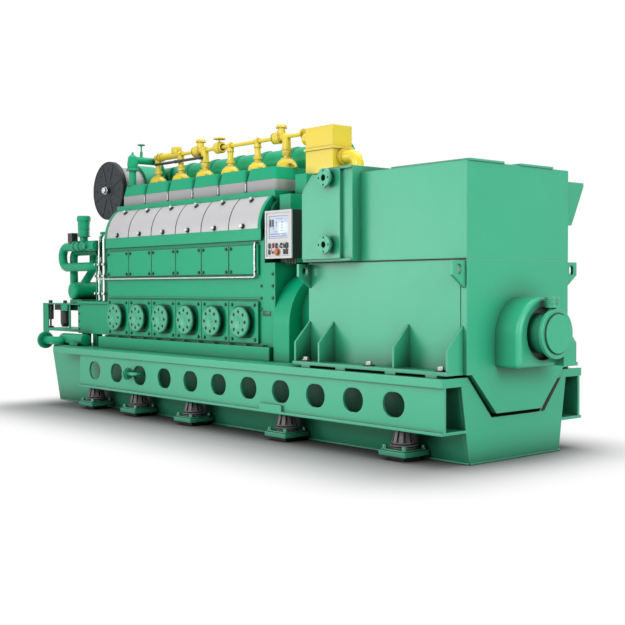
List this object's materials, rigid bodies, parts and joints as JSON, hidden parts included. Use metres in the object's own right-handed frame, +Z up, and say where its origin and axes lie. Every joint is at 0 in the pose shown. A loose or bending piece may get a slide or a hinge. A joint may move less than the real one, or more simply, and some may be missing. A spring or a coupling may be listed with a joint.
{
  "type": "gas engine generating set",
  "caption": "Stationary in-line gas engine and alternator on a common welded frame with resilient mounts, gas rail, turbocharger, pump end and control panel.",
  "frame": {"origin": "centre of the flat underside of the base frame's oil trough", "axes": "+X along the crankshaft towards the alternator, -Y the control panel side, +Z up"},
  "size_m": [7.807, 2.085, 3.1019],
  "materials": {
    "black_plastic": "matt",
    "bright_steel": "bright",
    "cover_silver": "brushed sheet",
    "dark_steel": "dark painted",
    "paint_frame": "satin enamel on welded plate",
    "paint_green": "satin enamel",
    "paint_grey": "satin enamel",
    "paint_yellow": "satin enamel",
    "panel_front": "light grey front",
    "rubber": "matt"
  },
  "bodies": {
    "set": {"alternator_body": "paint_frame", "alternator_feet": "paint_frame", "alternator_top": "paint_frame", "base_trough": "paint_frame", "bearing_housing": "paint_frame", "camshaft_covers": "paint_green", "charge_air_receiver": "paint_green", "control_panel": "black_plastic", "cooler": "paint_green", "cooler_box": "paint_frame", "cooling_flanges": "paint_frame", "crankcase_doors": "paint_green", "cylinder_heads": "paint_grey", "drain_pipe": "paint_frame", "engine_block": "paint_green", "engine_rails": "paint_green", "exhaust_manifold": "paint_green", "feed_pump": "paint_green", "filter_frame": "paint_green", "filter_pots": "black_plastic", "flywheel_guard": "paint_green", "free_end_deck": "paint_frame", "free_end_housing": "paint_green", "gas_elbow": "paint_yellow", "gas_inlets": "paint_yellow", "gas_rail": "paint_yellow", "gas_unit": "paint_yellow", "gas_valves": "paint_yellow", "girder_far": "paint_frame", "girder_near": "paint_frame", "hood_covers": "cover_silver", "hood_frame": "paint_green", "hood_knobs": "bright_steel", "lifting_lugs": "paint_frame", "mount_chocks": "dark_steel", "mount_feet": "paint_frame", "panel_front": "panel_front", "panel_pillar": "paint_green", "pilot_pipe": "black_plastic", "pump_housing": "paint_green", "relief_valves": "paint_green", "resilient_mounts": "rubber", "rocker_hoods": "paint_green", "roof_covers": "paint_frame", "silencer_body": "paint_grey", "silencer_face": "dark_steel", "steel_pipes": "bright_steel", "terminal_block": "black_plastic", "terminal_box": "paint_frame", "thermostat": "paint_green", "trough_ends": "paint_frame", "turbo_bracket": "paint_green", "turbo_casing": "paint_green", "vent_valve": "paint_green", "water_pipes": "paint_green"},
    "gas_wheel": {"gas_handwheel": "paint_yellow"},
    "vent_wheel": {"vent_handwheel": "paint_green"}
  },
  "joints": [
    {"name": "gas_wheel_turn", "type": "hinge", "parent": "set", "child": "gas_wheel", "pos_m": [-0.736, 0, 3.04], "axis": [0, 0, 1], "range_deg": [-1350, 0]},
    {"name": "vent_wheel_turn", "type": "hinge", "parent": "set", "child": "vent_wheel", "pos_m": [-2.077, -0.17, 3.09], "axis": [0, 0, 1], "range_deg": [-1350, 0]}
  ]
}
